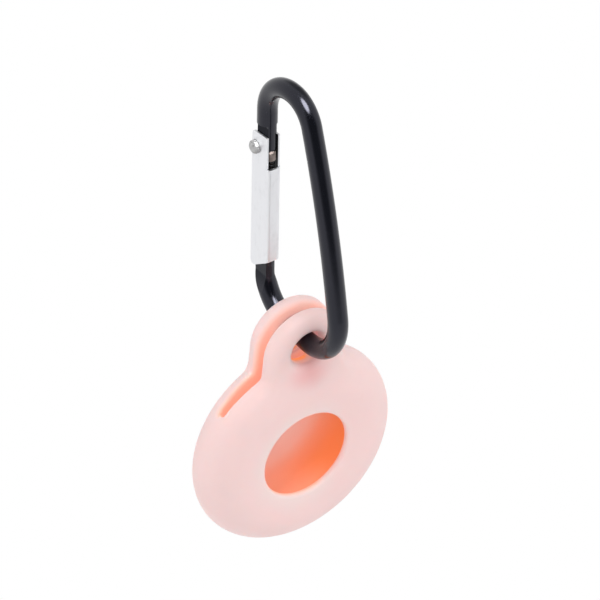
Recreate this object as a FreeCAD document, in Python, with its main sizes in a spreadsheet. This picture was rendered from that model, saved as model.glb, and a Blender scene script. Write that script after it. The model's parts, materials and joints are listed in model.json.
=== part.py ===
import FreeCAD, Part
import math
import os

import Sketcher

# Tracker tag holder: a moulded silicone pouch for a round tag, whose split ear
# hangs on the base of a small spring-gate carabiner.
# +Z is up, the pouch's window faces -Y, and the origin is the inside of the
# carabiner's top bend, where a ring or a strap carries it. Lengths are in millimetres.

SIZES = (
    # carabiner frame: one bent rod in the plane X = 0
    ("rod_diameter", 4.0),
    ("top_back_bend_radius", 8.6),
    ("top_front_bend_radius", 6.3),
    ("base_front_bend_radius", 9.7),
    ("base_back_bend_radius", 8.4),
    ("spine_bow_radius", 240.0),
    ("loop_height", 53.95),
    ("base_front_setback", 8.4),
    ("gate_lean_angle", 3.8),
    # flat tongues at the two ends of the rod
    ("tongue_thickness", 1.95),
    ("hinge_flat_height", 6.2),
    ("plunger_step_height", 0.5),
    ("plunger_step_room", 0.1),
    ("nose_flat_length", 6.0),
    ("nose_gap", 0.2),
    ("nose_runout", 3.5),
    # hinge rivet
    ("pivot_drop", 16.55),
    ("rivet_shank_diameter", 1.5),
    ("rivet_head_diameter", 2.8),
    ("rivet_head_height", 0.95),
    ("rivet_tail_height", 1.9),
    ("rivet_clearance", 0.05),
    # gate: a channel folded from sheet, open outwards
    ("gate_width", 2.9),
    ("gate_depth", 5.5),
    ("gate_sheet", 0.4),
    ("gate_bend_radius", 0.6),
    ("pivot_inset", 1.2),
    ("gate_top_outer", 3.3),
    ("gate_top_inner", 4.0),
    ("nose_rise", 6.9),
    ("foot_slant", 3.75),
    ("gate_corner_radius", 0.9),
    ("web_drop", 3.4),
    ("spring_seat_drop", 10.0),
    ("channel_clearance", 0.05),
    # plunger and spring inside the channel
    ("plunger_diameter", 1.95),
    ("plunger_dome_radius", 1.2),
    ("plunger_head_length", 2.2),
    ("plunger_stem_diameter", 0.7),
    ("plunger_stem_length", 3.0),
    ("plunger_gap", 0.06),
    ("spring_wire", 0.3),
    ("spring_coil_diameter", 1.3),
    ("spring_pitch", 0.8),
    ("spring_end_gap", 0.05),
    # silicone pouch
    ("pouch_setback", 5.3),
    ("rim_wall", 5.15),
    ("face_wall", 1.65),
    ("rim_width", 6.75),
    ("window_radius", 9.5),
    ("window_dip", 0.6),
    ("tag_diameter", 31.9),
    ("tag_thickness", 8.0),
    ("tag_room", 0.15),
    ("pocket_edge_width", 6.1),
    ("ear_radius", 8.6),
    ("ear_lift", 2.65),
    ("ear_thickness", 9.2),
    ("ear_edge_radius", 2.2),
    ("ear_flare_angle", 2.0),
    ("neck_radius", 5.0),
    ("neck_sink", 1.55),
    ("ear_hole_radius", 3.8),
    ("ear_hole_lift", 3.65),
    ("hole_edge_radius", 1.2),
    ("rod_rest_gap", 0.3),
    ("mouth_gap", 2.2),
    ("mouth_half_angle", 53.0),
    ("window_lip_radius", 0.4),
    # how far a cutting sketch runs past what it cuts
    ("overrun", 3.0),
)

doc = FreeCAD.newDocument("tracker_tag_holder")
sheet = doc.addObject("Spreadsheet::Sheet", "sizes")
for row, (alias, value) in enumerate(SIZES, start=1):
    sheet.set("A%d" % row, alias)
    sheet.set("B%d" % row, str(value))
    sheet.setAlias("B%d" % row, alias)
doc.recompute()


def size(alias):
    """A driving dimension read from the sheet."""
    return float(sheet.get(alias))


def point(across, up):
    """A point of a sketch."""
    return FreeCAD.Vector(across, up, 0)


def polar(centre, radius, angle):
    """The sketch point at an angle in radians round a centre."""
    return centre + point(radius * math.cos(angle), radius * math.sin(angle))


def new_body(name):
    """An empty body whose label names its file."""
    body = doc.addObject("PartDesign::Body", name)
    body.Label = name
    return body


def new_sketch(body, role, name, offset=None):
    """A sketch on one of the body's own origin planes."""
    sketch = body.newObject("Sketcher::SketchObject", name)
    plane = next(item for item in body.Origin.OriginFeatures if item.Role == role)
    sketch.AttachmentSupport = (plane, [""])
    sketch.MapMode = "FlatFace"
    if offset is not None:
        sketch.AttachmentOffset = offset
    return sketch


def draw(sketch, *curves):
    """Put lines and arcs into a sketch, each starting where the one before it ends."""
    for curve in curves:
        sketch.addGeometry(curve, False)


def line(start, end):
    """A straight edge of a sketch."""
    return Part.LineSegment(start, end)


def polygon(corners):
    """Closed straight outline through the corners."""
    return [line(a, b) for a, b in zip(corners, corners[1:] + corners[:1])]


def arc_through(start, middle, end):
    """A round edge of a sketch through three points."""
    return Part.Arc(start, middle, end)


def arc(centre, radius, start, end):
    """A round edge from one angle to another, either way round."""
    return arc_through(polar(centre, radius, start), polar(centre, radius, (start + end) / 2),
                       polar(centre, radius, end))


def circle(sketch, centre, radius, expression):
    """A full circle whose radius follows the sheet."""
    index = sketch.addGeometry(Part.Circle(centre, FreeCAD.Vector(0, 0, 1), radius), False)
    constraint = sketch.addConstraint(Sketcher.Constraint("Radius", index, radius))
    sketch.setExpression("Constraints[%d]" % constraint, expression)


def pad(body, sketch, name, expression):
    """Material of a stated thickness, half on each side of the sketch."""
    feature = body.newObject("PartDesign::Pad", name)
    feature.Profile = sketch
    feature.SideType = "Symmetric"
    feature.setExpression("Length", expression)
    return feature


def cut(body, sketch, name, expression, symmetric=True, reverse=False):
    """A pocket that has to remove material."""
    doc.recompute()
    before = body.Shape.Volume
    feature = body.newObject("PartDesign::Pocket", name)
    feature.Profile = sketch
    feature.SideType = "Symmetric" if symmetric else "One side"
    feature.Reversed = reverse
    feature.setExpression("Length", expression)
    doc.recompute()
    if body.Shape.Volume >= before:
        raise RuntimeError(name + " removes nothing")
    return feature


def turn(body, sketch, name, axis_role, kind="Revolution"):
    """A full revolution, or a full groove, about an axis of the body."""
    axis = next(item for item in body.Origin.OriginFeatures if item.Role == axis_role)
    feature = body.newObject("PartDesign::" + kind, name)
    feature.Profile = sketch
    feature.ReferenceAxis = (axis, [""])
    feature.Angle = 360
    return feature


def round_edges(body, base, name, expression, wanted):
    """A fillet on the edges of a feature that answer a test."""
    doc.recompute()
    names = ["Edge%d" % (i + 1) for i, edge in enumerate(base.Shape.Edges) if wanted(edge)]
    if not names:
        raise RuntimeError(name + " finds no edge")
    feature = body.newObject("PartDesign::Fillet", name)
    feature.Base = (base, names)
    feature.setExpression("Radius", expression)
    return feature


def is_circle(edge, radius):
    """Whether an edge lies on a circle of this radius."""
    curve = edge.Curve
    near = size("channel_clearance") / 10
    return curve.TypeId == "Part::GeomCircle" and abs(curve.Radius - radius) < near


# Places that several pieces share

rod_radius = size("rod_diameter") / 2
overrun = size("overrun")
lean = math.radians(size("gate_lean_angle"))
along_gate = point(math.sin(lean), math.cos(lean))
across_gate = point(math.cos(lean), -math.sin(lean))
top_back_centre = point(0, rod_radius - size("top_back_bend_radius"))
leg_start = top_back_centre + across_gate * size("top_back_bend_radius")
gate_line_inset = size("gate_depth") / 2 - size("pivot_inset")
pivot = leg_start + across_gate * gate_line_inset
pivot = pivot - along_gate * ((pivot.y + size("pivot_drop")) / along_gate.y)
base_height = rod_radius - size("loop_height")
foot_outer = (pivot.y - base_height - size("nose_rise")) / along_gate.y
foot_inner = foot_outer - size("foot_slant")
web_outside = size("pivot_inset") - size("gate_depth")
web_inside = web_outside + size("gate_sheet")
plunger_place = web_inside + size("channel_clearance") + size("plunger_diameter") / 2
gate_placement = FreeCAD.Placement(FreeCAD.Vector(0, pivot.x, pivot.y),
                                   FreeCAD.Rotation(FreeCAD.Vector(1, 0, 0), -size("gate_lean_angle")))
channel_shift = FreeCAD.Placement(FreeCAD.Vector(0, plunger_place, 0), FreeCAD.Rotation())
channel_placement = gate_placement * channel_shift


def gate_to_row(outward, up):
    """A point beside the pivot, told along the gate, as a point of the carabiner's plane."""
    return pivot + across_gate * outward + along_gate * up


def carabiner_frame():
    """Round rod bent to a lopsided D, with a flat tongue at the hinge and one at the nose."""
    body = new_body("carabiner_frame")
    top, front = size("top_front_bend_radius"), size("base_front_bend_radius")
    top_centre = point(0, rod_radius - top)
    back, bow = size("base_back_bend_radius"), size("spine_bow_radius")
    front_centre = point(-size("base_front_setback"), base_height + front)
    back_centre = leg_start - across_gate * back
    back_centre = back_centre + along_gate * ((base_height + back - back_centre.y) / along_gate.y)

    # the bowed spine touches the top bend and the front bend from outside
    span = front_centre - top_centre
    along = (span.Length ** 2 + (bow - top) ** 2 - (bow - front) ** 2) / (2 * span.Length)
    aside = math.sqrt((bow - top) ** 2 - along ** 2)
    unit = span / span.Length
    bow_centre = top_centre + unit * along + point(-unit.y, unit.x) * aside
    spine_top = math.atan2(top_centre.y - bow_centre.y, top_centre.x - bow_centre.x)
    spine_foot = math.atan2(front_centre.y - bow_centre.y, front_centre.x - bow_centre.x)
    spine_top %= 2 * math.pi
    spine_foot %= 2 * math.pi

    # both ends stop on the gate's middle line
    hinge_end = gate_to_row(-gate_line_inset, -size("pivot_inset"))
    nose_end = gate_to_row(-gate_line_inset, size("nose_flat_length") - foot_outer)
    path = new_sketch(body, "YZ_Plane", "rod_path")
    draw(path,
         line(hinge_end, leg_start),
         arc(top_back_centre, size("top_back_bend_radius"), -lean, math.pi / 2),
         arc(top_centre, top, math.pi / 2, spine_top),
         arc(bow_centre, bow, spine_top, spine_foot),
         arc(front_centre, front, spine_foot, 1.5 * math.pi),
         line(polar(front_centre, front, 1.5 * math.pi), polar(back_centre, back, 1.5 * math.pi)),
         arc(back_centre, back, 1.5 * math.pi, 2 * math.pi - lean),
         line(polar(back_centre, back, -lean), nose_end))

    section = new_sketch(body, "XY_Plane", "rod_section", FreeCAD.Placement(
        FreeCAD.Vector(0, hinge_end.x, hinge_end.y),
        FreeCAD.Rotation(FreeCAD.Vector(1, 0, 0), -size("gate_lean_angle"))))
    circle(section, point(0, 0), rod_radius, "sizes.rod_diameter / 2")
    doc.recompute()
    rod = body.newObject("PartDesign::AdditivePipe", "rod")
    rod.Profile = section
    rod.Spine = (path, [""])
    doc.recompute()

    # the hinge tongue's lobe goes round the rivet
    lobe = new_sketch(body, "YZ_Plane", "hinge_lobe")
    circle(lobe, pivot, size("pivot_inset"), "sizes.pivot_inset")
    pad(body, lobe, "lobe", "sizes.tongue_thickness")

    # flats on both sides of the two tongues
    for side, label in ((1, "right"), (-1, "left")):
        flat_place = FreeCAD.Vector(0, 0, side * size("tongue_thickness") / 2)
        flats = new_sketch(body, "YZ_Plane", "flats_" + label,
                           FreeCAD.Placement(flat_place, FreeCAD.Rotation()))
        reach = size("gate_depth")
        hinge_flat = [gate_to_row(-reach, -reach), gate_to_row(reach, -reach),
                      gate_to_row(reach, size("hinge_flat_height")),
                      gate_to_row(-reach, size("hinge_flat_height"))]
        nose_top = reach - foot_inner
        nose_foot = -foot_outer - size("nose_gap")
        nose_flat = [gate_to_row(-reach, nose_top), gate_to_row(reach, nose_top),
                     gate_to_row(reach, nose_foot), gate_to_row(-reach, nose_foot)]
        draw(flats, *polygon(hinge_flat), *polygon(nose_flat))
        cut(body, flats, "tongue_sides_" + label, "sizes.rod_diameter", symmetric=False, reverse=(side > 0))

    # below the gate the nose's flats run out into the round rod
    runout = new_sketch(body, "XZ_Plane", "nose_runout", FreeCAD.Placement(
        FreeCAD.Vector(0, pivot.y, -pivot.x),
        FreeCAD.Rotation(FreeCAD.Vector(1, 0, 0), -size("gate_lean_angle"))))
    flat, wide = size("tongue_thickness") / 2, size("rod_diameter")
    steep = size("nose_runout") / (rod_radius - flat)
    for side in (1, -1):
        draw(runout, *polygon([point(side * flat, nose_foot), point(side * wide, nose_foot),
                               point(side * wide, nose_foot - steep * (wide - flat))]))
    cut(body, runout, "nose_runout_cut", "sizes.gate_depth * 2")

    # step that the plunger pushes on
    step = new_sketch(body, "YZ_Plane", "plunger_step")
    inner = plunger_place + size("plunger_diameter") / 2 + size("plunger_step_room")
    step_height = size("plunger_step_height")
    draw(step, *polygon([gate_to_row(inner, step_height), gate_to_row(inner, -overrun),
                         gate_to_row(web_inside - overrun, -overrun),
                         gate_to_row(web_inside - overrun, step_height)]))
    cut(body, step, "plunger_step_cut", "sizes.rod_diameter * 2")

    bore = new_sketch(body, "YZ_Plane", "rivet_bore")
    circle(bore, pivot, size("rivet_shank_diameter") / 2 + size("rivet_clearance"),
           "sizes.rivet_shank_diameter / 2 + sizes.rivet_clearance")
    cut(body, bore, "rivet_hole", "sizes.rod_diameter * 2")
    return body


def hinge_rivet():
    """Rivet across the tongue and the gate's two walls, with a domed head and a longer tail."""
    body = new_body("hinge_rivet")
    shank, head = size("rivet_shank_diameter") / 2, size("rivet_head_diameter") / 2
    seat = size("gate_width") / 2 + size("rivet_clearance")
    near, far = -seat - size("rivet_head_height"), seat + size("rivet_tail_height")
    flat = head / 2
    profile = new_sketch(body, "XY_Plane", "rivet_profile")
    near_rise, far_rise = near + (head - flat), far - (head - flat)
    draw(profile,
         line(point(near, 0), point(near, flat)),
         arc(point(near_rise, flat), head - flat, math.pi, math.pi / 2),
         line(point(near_rise, head), point(-seat, head)),
         line(point(-seat, head), point(-seat, shank)),
         line(point(-seat, shank), point(seat, shank)),
         line(point(seat, shank), point(seat, head)),
         line(point(seat, head), point(far_rise, head)),
         arc(point(far_rise, flat), head - flat, math.pi / 2, 0),
         line(point(far, flat), point(far, 0)),
         line(point(far, 0), point(near, 0)))
    turn(body, profile, "rivet_turned", "X_Axis")
    body.Placement = gate_placement
    return body


def gate():
    """Folded sheet channel on the rivet, with its web cut short above and a seat for the spring."""
    body = new_body("gate")
    half, sheet_wall = size("gate_width") / 2, size("gate_sheet")
    outside, bend = size("pivot_inset"), size("gate_bend_radius")
    side = new_sketch(body, "YZ_Plane", "gate_side")
    top_outer, top_inner = size("gate_top_outer"), size("gate_top_inner")
    draw(side, *polygon([point(outside, -foot_outer), point(outside, top_outer),
                         point(web_outside, top_inner), point(web_outside, -foot_inner)]))
    block = pad(body, side, "gate_block", "sizes.gate_width")
    corners = round_edges(body, block, "gate_folds", "sizes.gate_bend_radius",
                          lambda edge: abs(edge.CenterOfMass.y - web_outside) < sheet_wall / 10
                          and edge.Length > size("gate_depth"))
    round_edges(body, corners, "gate_corners", "sizes.gate_corner_radius",
                lambda edge: abs(edge.Length - size("gate_width")) < sheet_wall / 10
                and edge.CenterOfMass.y > 0)
    doc.recompute()
    inside = new_sketch(body, "XY_Plane", "channel_inside", FreeCAD.Placement(
        FreeCAD.Vector(0, 0, top_inner + overrun), FreeCAD.Rotation()))
    inner, fold = half - sheet_wall, bend - sheet_wall
    draw(inside,
         line(point(-inner, outside + overrun), point(-inner, web_inside + fold)),
         arc(point(fold - inner, web_inside + fold), fold, math.pi, 1.5 * math.pi),
         line(point(fold - inner, web_inside), point(inner - fold, web_inside)),
         arc(point(inner - fold, web_inside + fold), fold, -0.5 * math.pi, 0),
         line(point(inner, web_inside + fold), point(inner, outside + overrun)),
         line(point(inner, outside + overrun), point(-inner, outside + overrun)))
    cut(body, inside, "channel", "sizes.loop_height", symmetric=False)

    window = new_sketch(body, "YZ_Plane", "web_window")
    draw(window, *polygon([point(web_inside + fold, top_inner + overrun),
                           point(web_inside + fold, -size("web_drop")),
                           point(web_outside - overrun, -size("web_drop")),
                           point(web_outside - overrun, top_inner + overrun)]))
    cut(body, window, "web_cut", "sizes.gate_width * 2")

    seat = new_sketch(body, "YZ_Plane", "spring_seat")
    seat_top = -size("spring_seat_drop")
    seat_reach = plunger_place + size("plunger_diameter") / 2
    draw(seat, *polygon([point(web_inside - sheet_wall / 2, seat_top), point(seat_reach, seat_top),
                         point(seat_reach, seat_top - sheet_wall),
                         point(web_inside - sheet_wall / 2, seat_top - sheet_wall)]))
    pad(body, seat, "spring_seat_tab", "sizes.gate_width - sizes.gate_sheet")

    holes = new_sketch(body, "YZ_Plane", "rivet_holes")
    circle(holes, point(0, 0), size("rivet_shank_diameter") / 2 + size("rivet_clearance"),
           "sizes.rivet_shank_diameter / 2 + sizes.rivet_clearance")
    cut(body, holes, "rivet_hole_pair", "sizes.gate_width * 2")
    body.Placement = gate_placement
    return body


def spring_plunger():
    """Domed pin that the spring pushes against the tongue's step."""
    body = new_body("spring_plunger")
    radius, stem = size("plunger_diameter") / 2, size("plunger_stem_diameter") / 2
    dome = size("plunger_dome_radius")
    top = size("plunger_step_height") - size("plunger_gap")
    shoulder = top - dome + math.sqrt(dome ** 2 - radius ** 2)
    under = top - size("plunger_head_length")
    foot = under - size("plunger_stem_length")
    half_slope = (math.pi / 2 + math.acos(radius / dome)) / 2
    profile = new_sketch(body, "XZ_Plane", "plunger_profile")
    draw(profile,
         arc_through(point(0, top), polar(point(0, top - dome), dome, half_slope), point(radius, shoulder)),
         line(point(radius, shoulder), point(radius, under)),
         line(point(radius, under), point(stem, under)),
         line(point(stem, under), point(stem, foot)),
         line(point(stem, foot), point(0, foot)),
         line(point(0, foot), point(0, top)))
    turn(body, profile, "plunger_turned", "Z_Axis")
    body.Placement = channel_placement
    return body


def arc_from(start, heading, end):
    """Arc that leaves a point along a heading and ends at another point."""
    chord = end - start
    unit = chord / chord.Length
    outward = heading - unit * heading.dot(unit)
    swing = math.acos(max(-1.0, min(1.0, heading.dot(unit))))
    middle = (start + end) / 2 + outward / outward.Length * (chord.Length / 2 * math.tan(swing / 2))
    return Part.Arc(start, middle, end)


def gate_spring():
    """Compression spring between the plunger's head and its seat, one unbroken wire."""
    wire, coil = size("spring_wire"), size("spring_coil_diameter") / 2
    pitch, end_gap = size("spring_pitch"), size("spring_end_gap")
    head_foot = size("plunger_step_height") - size("plunger_gap") - size("plunger_head_length")
    top = head_foot - end_gap - wire / 2
    foot = -size("spring_seat_drop") + end_gap + wire / 2
    half_turns = max(2, round(2 * (top - foot) / pitch))
    climb = (top - foot) / half_turns

    def place(step):
        angle = math.pi * step
        return FreeCAD.Vector(coil * math.cos(angle), coil * math.sin(angle), foot + climb * step)

    def heading(step):
        angle = math.pi * step
        tangent = FreeCAD.Vector(-math.pi * coil * math.sin(angle), math.pi * coil * math.cos(angle), climb)
        return tangent / tangent.Length

    edges = []
    for step in range(half_turns):
        start, end = place(step), place(step + 1)
        leave, arrive = heading(step), heading(step + 1)
        chord, both = end - start, leave + arrive
        turn_part = 2 * (1 - leave.dot(arrive))
        ahead = chord.dot(both)
        reach = (math.sqrt(ahead ** 2 + turn_part * chord.dot(chord)) - ahead) / turn_part
        joint = (start + leave * reach + end - arrive * reach) / 2
        edges.append(arc_from(start, leave, joint).toShape())
        middle_heading = (end - arrive * reach) - (start + leave * reach)
        edges.append(arc_from(joint, middle_heading / middle_heading.Length, end).toShape())
    path = Part.Wire(edges)
    section = Part.Wire(Part.makeCircle(wire / 2, place(0), heading(0)))
    feature = doc.addObject("Part::Feature", "gate_spring")
    feature.Label = "gate_spring"
    feature.Shape = path.makePipeShell([section], True, False)
    feature.Placement = channel_placement
    samples = 8
    turns_apart = min((place(a / samples) - place(b / samples)).Length
                      for a in range(samples * half_turns) for b in range(a + samples, samples * half_turns))
    print("gate spring, least gap between its turns: %.3f mm" % (turns_apart - wire))
    return feature


def silicone_holder():
    """Pouch with a round window, a tag pocket, and an ear that a mouth splits into two flaps."""
    body = new_body("silicone_holder")
    pocket_radius = size("tag_diameter") / 2 + size("tag_room")
    pocket_half = size("tag_thickness") / 2 + size("tag_room")
    outer, half = pocket_radius + size("rim_wall"), pocket_half + size("face_wall")
    crest = outer - size("rim_width")
    ear, rise, neck = size("ear_radius"), outer + size("ear_lift"), size("neck_radius")

    # ear with straight flanks and a hollow neck that runs out just inside the pouch's rim
    sunk = outer - size("neck_sink")
    flare = math.radians(size("ear_flare_angle"))
    outward = point(math.cos(flare), math.sin(flare))
    downward = point(math.sin(flare), -math.cos(flare))
    ear_centre = point(0, rise)
    beside = ear_centre + outward * (ear + neck)
    slack = rise * outward.x
    flank = slack - math.sqrt(slack ** 2 - beside.Length ** 2 + (sunk + neck) ** 2)
    neck_right = beside + downward * flank
    neck_left = point(-neck_right.x, neck_right.y)
    flank_top = ear_centre + outward * ear
    flank_foot = flank_top + downward * flank
    touch = math.atan2(neck_right.y, neck_right.x)
    foot_right, foot_left = polar(point(0, 0), sunk, touch), polar(point(0, 0), sunk, math.pi - touch)
    ear_outline = new_sketch(body, "XZ_Plane", "ear_outline")
    draw(ear_outline,
         line(point(0, 0), foot_right),
         arc(neck_right, neck, math.pi + touch, math.pi + flare),
         line(flank_foot, flank_top),
         arc(ear_centre, ear, flare, math.pi - flare),
         line(point(-flank_top.x, flank_top.y), point(-flank_foot.x, flank_foot.y)),
         arc(neck_left, neck, -flare, -touch),
         line(foot_left, point(0, 0)))
    block = pad(body, ear_outline, "ear_block", "sizes.ear_thickness")
    thickness = size("ear_thickness")
    round_edges(body, block, "ear_soft_edges", "sizes.ear_edge_radius",
                       lambda edge: edge.BoundBox.ZMin > size("channel_clearance")
                       and abs(abs(edge.CenterOfMass.y) - thickness / 2) < size("channel_clearance"))
    doc.recompute()

    # pouch: a crested ring round the window, flat across the back
    rim = new_sketch(body, "XY_Plane", "pouch_profile")
    dip = size("window_dip")
    lip = point(size("window_radius"), dip - half)
    run = crest - size("window_radius")
    dish = (run ** 2 + dip ** 2) / (2 * dip)
    half_dish = (1.5 * math.pi + math.atan2(lip.y + half - dish, lip.x - crest) % (2 * math.pi)) / 2
    ellipse = Part.Ellipse(point(crest, 0), outer - crest, half)
    draw(rim,
         line(point(0, half), point(0, lip.y)),
         line(point(0, lip.y), lip),
         arc_through(lip, polar(point(crest, dish - half), dish, half_dish), point(crest, -half)),
         Part.ArcOfEllipse(ellipse, -math.pi / 2, math.pi / 2),
         line(point(crest, half), point(0, half)))
    turn(body, rim, "pouch", "Y_Axis")
    doc.recompute()

    pocket_flat = pocket_radius - size("pocket_edge_width")
    lens = Part.Ellipse(point(pocket_flat, 0), size("pocket_edge_width"), pocket_half)
    inside = new_sketch(body, "XY_Plane", "tag_pocket_profile")
    draw(inside,
         line(point(0, -pocket_half), point(pocket_flat, -pocket_half)),
         Part.ArcOfEllipse(lens, -math.pi / 2, math.pi / 2),
         line(point(pocket_flat, pocket_half), point(0, pocket_half)),
         line(point(0, pocket_half), point(0, -pocket_half)))
    before = body.Shape.Volume
    turn(body, inside, "tag_pocket", "Y_Axis", "Groove")
    doc.recompute()
    if body.Shape.Volume >= before:
        raise RuntimeError("tag_pocket removes nothing")

    window = new_sketch(body, "XZ_Plane", "window_outline")
    circle(window, point(0, 0), size("window_radius"), "sizes.window_radius")
    cut(body, window, "window", "sizes.tag_thickness", symmetric=False, reverse=True)

    # mouth: a slit at mid-thickness through the rim and the ear
    angle = math.radians(size("mouth_half_angle"))
    start, end = math.pi / 2 - angle, math.pi / 2 + angle
    near, far = pocket_flat, rise + ear + overrun
    mouth = new_sketch(body, "XZ_Plane", "mouth_outline")
    draw(mouth,
         arc(point(0, 0), near, start, end),
         line(polar(point(0, 0), near, end), polar(point(0, 0), far, end)),
         arc(point(0, 0), far, end, start),
         line(polar(point(0, 0), far, start), polar(point(0, 0), near, start)))
    cut(body, mouth, "mouth", "sizes.mouth_gap")

    # hole that the carabiner's base runs through, in both flaps
    pouch_drop = base_height + rod_radius + size("rod_rest_gap") - size("ear_hole_radius")
    hole = new_sketch(body, "XZ_Plane", "ear_hole_outline")
    hole_place = outer + size("ear_hole_lift")
    circle(hole, point(0, hole_place), size("ear_hole_radius"), "sizes.ear_hole_radius")
    holed = cut(body, hole, "ear_hole", "sizes.ear_thickness * 2")
    soft_hole = round_edges(body, holed, "ear_hole_edges", "sizes.hole_edge_radius",
                            lambda edge: is_circle(edge, size("ear_hole_radius"))
                            and abs(abs(edge.CenterOfMass.y) - thickness / 2) < size("channel_clearance"))
    round_edges(body, soft_hole, "window_lip", "sizes.window_lip_radius",
                lambda edge: is_circle(edge, size("window_radius")))
    body.Placement = FreeCAD.Placement(
        FreeCAD.Vector(0, -size("pouch_setback"), pouch_drop - hole_place),
        FreeCAD.Rotation())
    return body


pieces = (carabiner_frame(), hinge_rivet(), gate(), spring_plunger(), gate_spring(), silicone_holder())
doc.recompute()
for item in doc.Objects:
    if "Invalid" in item.State or "Error" in item.State:
        raise RuntimeError("%s failed" % item.Label)
for piece in pieces:
    if piece.Shape.isNull() or not piece.Shape.isValid() or len(piece.Shape.Solids) != 1:
        raise RuntimeError("%s is not one valid solid" % piece.Label)

os.makedirs("parts", exist_ok=True)
for piece in pieces:
    piece.Shape.exportStep("parts/%s.step" % piece.Label)
    print("%-16s %9.2f mm3" % (piece.Label, piece.Shape.Volume))
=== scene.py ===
import json
import math

import bpy
from bpy.props import FloatProperty, FloatVectorProperty, IntProperty, PointerProperty
from mathutils import Matrix, Vector


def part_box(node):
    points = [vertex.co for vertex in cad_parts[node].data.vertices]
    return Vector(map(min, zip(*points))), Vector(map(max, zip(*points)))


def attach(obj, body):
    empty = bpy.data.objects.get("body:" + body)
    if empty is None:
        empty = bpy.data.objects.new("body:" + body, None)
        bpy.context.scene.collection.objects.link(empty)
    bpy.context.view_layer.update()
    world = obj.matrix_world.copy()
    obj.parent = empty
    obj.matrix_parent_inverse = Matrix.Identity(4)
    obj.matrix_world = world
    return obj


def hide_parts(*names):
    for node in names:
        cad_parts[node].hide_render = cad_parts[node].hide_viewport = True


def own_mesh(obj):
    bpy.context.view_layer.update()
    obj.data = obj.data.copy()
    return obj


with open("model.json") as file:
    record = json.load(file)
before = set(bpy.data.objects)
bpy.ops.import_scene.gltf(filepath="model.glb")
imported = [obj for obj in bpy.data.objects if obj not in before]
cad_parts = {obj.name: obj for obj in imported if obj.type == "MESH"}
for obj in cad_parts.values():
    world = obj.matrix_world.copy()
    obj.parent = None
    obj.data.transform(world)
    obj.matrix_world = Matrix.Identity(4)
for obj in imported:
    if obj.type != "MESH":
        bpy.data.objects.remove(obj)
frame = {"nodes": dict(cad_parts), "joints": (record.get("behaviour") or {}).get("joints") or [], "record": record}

bl_info = {
    "name": "Tag pouch on a carabiner",
    "version": (1, 0, 0),
    "blender": (4, 5, 0),
    "location": "View3D > Sidebar > Tag pouch",
    "description": "Dresses a moulded silicone tag pouch and the spring-gate carabiner that carries it",
    "category": "Object",
}

NODES = frame["nodes"]
POUCH_CENTRE = Vector(next(m["pos_m"] for m in frame["record"]["mounts"] if m["name"] == "tag_pocket"))
HINGE = next(j for j in frame["joints"] if j["name"] == "gate_hinge")
SLIDE = next(j for j in frame["joints"] if j["name"] == "plunger_slide")
GATE_LEAN = math.atan2(SLIDE["axis"][1], SLIDE["axis"][2])
GATE_ACROSS = Vector((0.0, -SLIDE["axis"][2], SLIDE["axis"][1]))
X, Y, Z = (1.0, 0.0, 0.0), (0.0, 1.0, 0.0), (0.0, 0.0, 1.0)

# the rod's flats and the gate's channel, in metres
TONGUE_HALF = 0.000975  # half of the tongues' thickness
FLAT_BAND = (0.00002, 0.00004)  # how far from a flat its painted shade goes on in full, and ends
TONGUE_TOP = (-0.0108, -0.0103)  # heights over which the hinge tongue's flats end
NOSE_FOOT = (-0.0485, -0.0455)  # heights over which the nose's painted shade fades
GATE_SIDE = (0.002, 0.003)  # distance back from the frame's middle over which the gate's side begins
RUNOUT_START = 0.02876  # from the hinge down the gate to where the nose's flats run out
RUNOUT_SLOPE = 0.293  # growth of the half thickness on the way down from there
NOSE_TOP = (-0.012, -0.010)  # from the runout's start: where the nose begins
TONGUE_PAINTED_SHADE, NOSE_LESS_SHADE = 0.8, 0.32  # share of painted shade (a matte near black) on the tongue's flats, and how much less on the nose
CHANNEL_HALF = (0.00105, 0.00115)  # from the gate's middle to its walls
WEB_INSIDE = (-0.0041, -0.0039)  # from the hinge across to the web

# the silicone's glow
FAINT_GAIN = 3.0  # the faint glow is full where a third of the light comes through
HOLE_LIGHT = (0.70, 0.85)  # so much light comes through in the ear hole only

# the view, fitted to the photograph
CAMERA_RIGHT = (0.8246, -0.5635, 0.0504)
CAMERA_BACK = (-0.4617, -0.6187, 0.6356)
CAMERA_AIM = (0.01013, 0.00798, -0.05806)
CAMERA_DISTANCE = 1.2
CAMERA_WIDTH = 0.1132

# each lamp's place from the part, side and power
LAMPS = {
    "key_lamp": ((-0.9, -0.8, 1.1), 0.7, 4.6),
    "top_lamp": ((-0.2, -0.5, 1.5), 0.6, 4.8),
    "side_lamp": ((1.1, -0.5, 0.5), 0.8, 3.2),
    "back_lamp": ((-1.2, 0.7, 0.5), 0.8, 2.6),
}
LAMP_AIM = (0.0, 0.0, 0.03)  # from the pouch's middle

# what gloss mirrors: its direction, the cosines from which it begins and is full, and its strength
DARK_SIDE = ((-0.28, -0.93, 0.24), (0.49, 0.88), 0.9)
SHADED_CORNER = ((0.62, 0.57, 0.54), (0.80, 0.97), 0.6)
SOFTBOX = ((-0.14, -0.30, 0.94), (0.915, 0.97), 17.0)
TABLE_EDGE = (-0.31, -0.18)  # upward parts of the directions between which the dark side ends

# the floor
FLOOR_REACH, FLOOR_CORNERS = 0.45, 64
FLOOR_FADE = (0.05, 0.095)  # distances from the middle over which it turns white
PAPER, PALE_PAPER, WHITE = 0.93, 0.95, 1.0


def millimetres(label, hint, value):
    """A length that a user may change, told in millimetres and kept in metres."""
    return FloatProperty(name=label, description=hint, default=value / 1000, min=0.0, unit="LENGTH",
                         precision=5)


def colour(label, hint, value):
    """A surface colour that a user may change."""
    return FloatVectorProperty(name=label, description=hint, default=value, size=3, min=0.0, max=1.0,
                               subtype="COLOR")


def share(label, hint, value):
    """A part of one that a user may change."""
    return FloatProperty(name=label, description=hint, default=value, min=0.0, max=1.0, subtype="FACTOR")


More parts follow.
